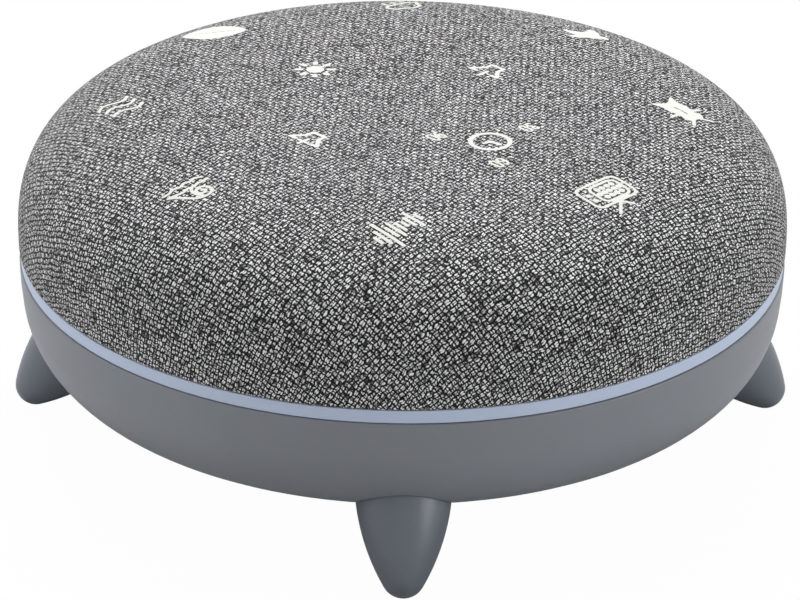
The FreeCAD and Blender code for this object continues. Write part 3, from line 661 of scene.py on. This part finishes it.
ink_points = []
ink_faces = []
for sign, centre_x, centre_y, scale, turn in signs:
    reach = np.arange(-sign_reach, sign_reach + ink_cell, ink_cell)
    grid_x, grid_y = np.meshgrid(reach, reach, indexing="ij")
    depth = moved(sign, 0, 0, turn, scale)(grid_x, grid_y) - ink_spread
    known = {}

    def ink_corner(i, j):
        if (i, j) not in known:
            known[i, j] = len(ink_points)
            ink_points.append((centre_x + reach[i], centre_y + reach[j]))
        return known[i, j]

    def ink_edge(a, b):
        if (min(a, b), max(a, b)) not in known:
            share = depth[a] / (depth[a] - depth[b])
            known[min(a, b), max(a, b)] = len(ink_points)
            ink_points.append(
                (
                    centre_x + reach[a[0]] + share * (reach[b[0]] - reach[a[0]]),
                    centre_y + reach[a[1]] + share * (reach[b[1]] - reach[a[1]]),
                )
            )
        return known[min(a, b), max(a, b)]

    near = np.minimum.reduce([depth[:-1, :-1], depth[1:, :-1], depth[1:, 1:], depth[:-1, 1:]])
    for i, j in np.argwhere(near < 0):
        corners = [(i, j), (i + 1, j), (i + 1, j + 1), (i, j + 1)]
        face = []
        for a, b in zip(corners, corners[1:] + corners[:1]):
            if depth[a] < 0:
                face.append(ink_corner(*a))
            if (depth[a] < 0) != (depth[b] < 0):
                face.append(ink_edge(a, b))
        if len(face) > 2:
            ink_faces.append(face)

flat_ink = np.asarray(ink_points) / 1000
ink_radius = np.hypot(flat_ink[:, 0], flat_ink[:, 1])
ink_level = np.interp(ink_radius, crown_outside[:, 0], crown_outside[:, 1])
ink_tilt = np.interp(ink_radius, crown_outside[:, 0], slope[:, 1])
ink_run = np.interp(ink_radius, crown_outside[:, 0], crown_run)
outward = flat_ink / np.maximum(ink_radius, 1e-9)[:, None]
lifted = np.column_stack(
    [flat_ink - outward * (ink_tilt * ink_lift)[:, None],
     ink_level + ink_lift * np.sqrt(1 - ink_tilt**2)]
)
ink_places = np.column_stack([outward * ink_run[:, None], np.zeros(len(flat_ink))])

white_ink, shader, place = new_finish("white_ink", Roughness=0.7)
shader.inputs["Specular IOR Level"].default_value = 0.25
height, shade = weave(place)
worn = place.node("ShaderNodeTexNoise", {}, {"Vector": place, "Scale": 1400.0, "Detail": 3.0})
# The ink turns grey where the weave is low, which is painted shade in the crevices, and where the worn
# noise is low, which is thin, worn ink.
ink_wear_and_gap_shade = (height * 0.8 + worn * 0.5).spread(0.12, 0.5, 0.0, 1.0)
feed(
    shader,
    "Base Color",
    ink_wear_and_gap_shade.blend(linear(166, 166, 163), linear(229, 230, 224)),
)
feed(
    shader,
    "Normal",
    height.node("ShaderNodeBump", {}, {"Strength": 0.5, "Distance": 0.00008, "Height": height}),
)
ink = add_mesh("printed_signs", lifted, ink_faces, white_ink, ink_places)
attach(ink, "housing")


# The dome under the cloth is moulded in dark plastic, plain because nobody sees it. It carries the
# cloth, the touch board and the long screw bosses that clamp the two halves together.
noise_range = (0.3, 0.7)


def moulded(name, colour, roughness, grain_size=0.0004, grain_depth=0.00001, shift=0.06, **fixed):
    """Moulded plastic: a fine spark-eroded grain, and a little unevenness in tone and gloss."""
    material, shader, place = new_finish(name, **fixed)
    grain = place.node(
        "ShaderNodeTexNoise", {}, {"Vector": place, "Scale": 1 / grain_size, "Detail": 3.0}
    )
    flow = place.node("ShaderNodeTexNoise", {}, {"Vector": place, "Scale": 28.0, "Detail": 2.0})
    darker = tuple(c * (1 - shift) for c in colour[:3]) + (1,)
    lighter = tuple(min(1, c * (1 + shift)) for c in colour[:3]) + (1,)
    even = (flow * 0.7 + grain * 0.3).spread(*noise_range, 0, 1)
    feed(shader, "Base Color", even.blend(darker, lighter))
    gloss = flow * 0.5 + grain * 0.5
    feed(shader, "Roughness", gloss.spread(*noise_range, roughness - 0.05, roughness + 0.05))
    feed(
        shader,
        "Normal",
        grain.node(
            "ShaderNodeBump", {}, {"Strength": 0.6, "Distance": grain_depth, "Height": grain}
        ),
    )
    return material


def dress(finish, *names):
    """CAD nodes keep their shape and get this finish."""
    for name in names:
        for material_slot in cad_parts[name].material_slots:
            material_slot.material = finish


dress(moulded("dome_plastic", linear(58, 59, 62), 0.55), "top_dome")


# The light ring is a thin band of frosted, faintly blue plastic between the cloth and the bowl. It
# scatters the lamps behind it, and carries the rim of the dome on its upper edge.
dress(
    moulded("frosted_band", linear(192, 205, 230), 0.38, grain_size=0.00025, shift=0.03,
            grain_depth=0.000006),
    "light_ring",
)


# The bowl and its four bullet-shaped legs are moulded in the same satin grey plastic. Each leg
# plugs into a slanted pocket in the bowl and is drawn up by a screw from inside.
dress(moulded("satin_grey", linear(127, 131, 138), 0.42), "lower_shell")
# The legs get a darker copy of the bowl's grey. This is painted shade, since their plastic is the
# same.
dress(moulded("leg_grey_painted_shade", linear(106, 113, 122), 0.34, grain_depth=0.000004),
      "leg_rear_right", "leg_rear_left", "leg_front_left", "leg_front_right")


# The grille is a separate round insert with rings of holes, pressed into the bowl's floor under the
# driver, so that the sound leaves downwards between the legs.
dress(moulded("grille_grey", linear(120, 124, 130), 0.5), "speaker_grille")


# Screws are zinc-plated steel. The driver's yoke and top plate are turned from the same steel, with
# fine rings left by the tool.
ring_depth = 0.000008


def turned_metal(name, colour, roughness, rings=0.00025):
    """Turned or drawn metal: fine tool rings, and a few duller stains."""
    material, shader, place = new_finish(name, Metallic=1.0)
    wave = place.node(
        "ShaderNodeTexNoise", {}, {"Vector": place, "Scale": 1 / rings, "Detail": 2.0}
    )
    stain = place.node("ShaderNodeTexNoise", {}, {"Vector": place, "Scale": 160.0, "Detail": 3.0})
    duller = tuple(c * 0.8 for c in colour[:3]) + (1,)
    feed(shader, "Base Color", stain.spread(0.35, 0.65, 0, 1).blend(duller, colour))
    gloss = wave * 0.5 + stain * 0.5
    feed(shader, "Roughness", gloss.spread(*noise_range, roughness - 0.1, roughness + 0.1))
    feed(
        shader,
        "Normal",
        wave.node(
            "ShaderNodeBump", {}, {"Strength": 0.4, "Distance": ring_depth, "Height": wave}
        ),
    )
    return material


zinc = turned_metal("zinc_plate", linear(196, 196, 192), 0.32)
dress(zinc, "leg_screws", "housing_screws", "speaker_screws", "main_board_screws",
      "touch_board_screws", "speaker_yoke", "speaker_top_plate")


# The driver: a painted steel basket, a ferrite ring, a copper coil, a pressed paper cone with its
# cap in a rubber edge, a resin-dipped cloth spider and a foam gasket against the bowl.
dress(moulded("black_paint", linear(40, 40, 42), 0.35, grain_size=0.0006), "speaker_basket")
dress(moulded("ferrite_block", linear(62, 62, 66), 0.7, grain_size=0.0003,
              grain_depth=0.00003), "speaker_magnet")
dress(turned_metal("copper_wire", linear(196, 122, 80), 0.35, rings=0.0001), "voice_coil")
dress(moulded("cone_pulp", linear(52, 51, 50), 0.85, grain_size=0.0009, grain_depth=0.00006,
              shift=0.2), "speaker_cone", "dust_cap")
dress(moulded("edge_rubber", linear(34, 34, 35), 0.55, grain_size=0.0007), "surround")
dress(moulded("black_foam", linear(44, 44, 45), 0.95, grain_size=0.0005, grain_depth=0.00012,
              shift=0.25), "speaker_gasket")


def spider_cloth():
    """Open cotton cloth dipped in amber resin, its threads square to each other."""
    material, shader, place = new_finish("resin_cloth")
    threads = 0.0007
    across = (place.part("X") * (2 * math.pi / threads)).math("SINE")
    along = (place.part("Y") * (2 * math.pi / threads)).math("SINE")
    weave_height = (across * along) * 0.5 + 0.5
    feed(shader, "Base Color", weave_height.blend(linear(128, 92, 40), linear(206, 168, 96)))
    feed(shader, "Roughness", weave_height.spread(0, 1, 0.75, 0.5))
    feed(shader, "Normal", weave_height.node(
        "ShaderNodeBump", {}, {"Strength": 0.6, "Distance": 0.00008, "Height": weave_height}))
    return material


dress(spider_cloth(), "spider")
dress(moulded("brown_laminate", linear(150, 110, 62), 0.5, shift=0.15), "speaker_terminals")


# The boards are green laminate with copper tracks under the solder mask. Chips, capacitors, plugs
# and lamps stand on them, and foam pads carry the touch from the dome to the upper board.
def printed_board(name):
    material, shader, place = new_finish(name, Coat_Weight=0.3)
    pitch = 0.0032
    cell = place.node("ShaderNodeTexVoronoi", {"distance": "CHEBYCHEV", "feature": "F1"},
                      {"Vector": place, "Scale": 1 / pitch})
    tracks = (cell * 9).math("FRACT").spread(0.42, 0.58, 0, 1)
    mask_tone = place.node("ShaderNodeTexNoise", {}, {"Vector": place, "Scale": 90.0})
    green = tracks.blend(linear(20, 74, 44), linear(34, 104, 60))
    feed(shader, "Base Color", mask_tone.spread(*noise_range, 0, 0.3).blend(green, linear(16, 60, 36)))
    feed(shader, "Roughness", tracks.spread(0, 1, 0.38, 0.3))
    feed(shader, "Normal", tracks.node("ShaderNodeBump", {},
                                       {"Strength": 0.5, "Distance": 0.00002, "Height": tracks}))
    return material


dress(printed_board("green_board"), "main_board", "touch_board", "led_board")
dress(moulded("chip_black", linear(38, 38, 40), 0.5), "main_chips", "touch_chip")
dress(turned_metal("capacitor_can", linear(178, 180, 188), 0.3), "capacitors")
dress(moulded("header_white", linear(222, 218, 206), 0.5), "wire_headers", "ribbon_headers")
dress(moulded("pad_foam", linear(120, 120, 122), 0.95, grain_size=0.0004, grain_depth=0.00008,
              shift=0.2), "touch_pads")
dress(moulded("lamp_epoxy", linear(238, 230, 196), 0.25), "leds")
dress(moulded("ribbon_grey", linear(150, 151, 153), 0.6), "touch_ribbon")


# The power socket is a black moulding behind a round mouth in the bowl's left side, with a plated
# pin. Thin insulated wires join it, the driver and the lamps to the main board.
dress(moulded("socket_black", linear(30, 30, 31), 0.35), "power_jack")
dress(turned_metal("plated_pin", linear(210, 206, 196), 0.2), "jack_pin")
dress(moulded("wire_skin", linear(32, 32, 34), 0.45), "speaker_leads", "jack_leads", "led_leads")


# The set stands on a pale table. The table and the room behind it show as plain white, and keep the
# soft shadow under the legs.
table_half = 6.0
table_whiteness = 0.98
table = bpy.data.materials.new("pale_table")
table.use_nodes = True
nodes = table.node_tree.nodes
shader = nodes["Principled BSDF"]
shader.inputs["Roughness"].default_value = 0.9
shader.inputs["Specular IOR Level"].default_value = 0.1
rays = Signal(nodes.new("ShaderNodeLightPath").outputs["Is Camera Ray"])
place = Signal(nodes.new("ShaderNodeTexCoord").outputs["Object"])
tooth = place.node("ShaderNodeTexNoise", {}, {"Vector": place, "Scale": 60.0, "Detail": 3.0})
table_tone = tooth.spread(*noise_range, 0, 1).blend((0.70, 0.70, 0.70, 1), (0.74, 0.74, 0.74, 1))
feed(shader, "Base Color", table_tone)
glow = rays.node("ShaderNodeEmission", {}, {"Color": (1, 1, 1, 1), "Strength": 1.0})
shine = rays.node("ShaderNodeMixShader", {}, {0: rays * table_whiteness})
mixer = shine.out.node
table.node_tree.links.new(shader.outputs[0], mixer.inputs[1])
table.node_tree.links.new(glow.out, mixer.inputs[2])
table.node_tree.links.new(shine.out, nodes["Material Output"].inputs["Surface"])
floor = add_mesh(
    "table",
    [(-table_half, -table_half, 0), (table_half, -table_half, 0), (table_half, table_half, 0),
     (-table_half, table_half, 0)],
    [(0, 1, 2, 3)],
    table,
)

world = bpy.data.worlds.new("white_room")
bpy.context.scene.world = world
world.use_nodes = True
nodes = world.node_tree.nodes
path = nodes.new("ShaderNodeLightPath")
seen = Signal(path.outputs["Is Camera Ray"]).math("MAXIMUM", Signal(path.outputs["Is Glossy Ray"]))
seen = seen.math("MAXIMUM", Signal(path.outputs["Is Transmission Ray"]))
room_light = 0.24
world.node_tree.links.new((seen * (1 - room_light) + room_light).out,
                          nodes["Background"].inputs["Strength"])
nodes["Background"].inputs["Color"].default_value = (1, 1, 1, 1)


lamp_distance = 1.6


def soft_lamp(name, heading, height_angle, size, power):
    """A large square lamp, aimed at the middle of the set; heading is on the row's compass."""
    light = bpy.data.lights.new(name, "AREA")
    light.size = size
    light.energy = power
    lamp = bpy.data.objects.new(name, light)
    bpy.context.scene.collection.objects.link(lamp)
    a = math.radians(heading)
    e = math.radians(height_angle)
    lamp.location = (
        lamp_distance * math.cos(a) * math.cos(e),
        lamp_distance * math.sin(a) * math.cos(e),
        lamp_distance * math.sin(e) + seam_level,
    )
    aim = Vector((0, 0, seam_level)) - lamp.location
    lamp.rotation_euler = aim.to_track_quat("-Z", "Y").to_euler()


soft_lamp("back_top_lamp", heading=225, height_angle=62, size=1.2, power=26)
soft_lamp("left_lamp", heading=318, height_angle=30, size=0.9, power=7.5)
soft_lamp("right_lamp", heading=112, height_angle=18, size=0.9, power=8)

bpy.context.scene.view_settings.view_transform = "Standard"
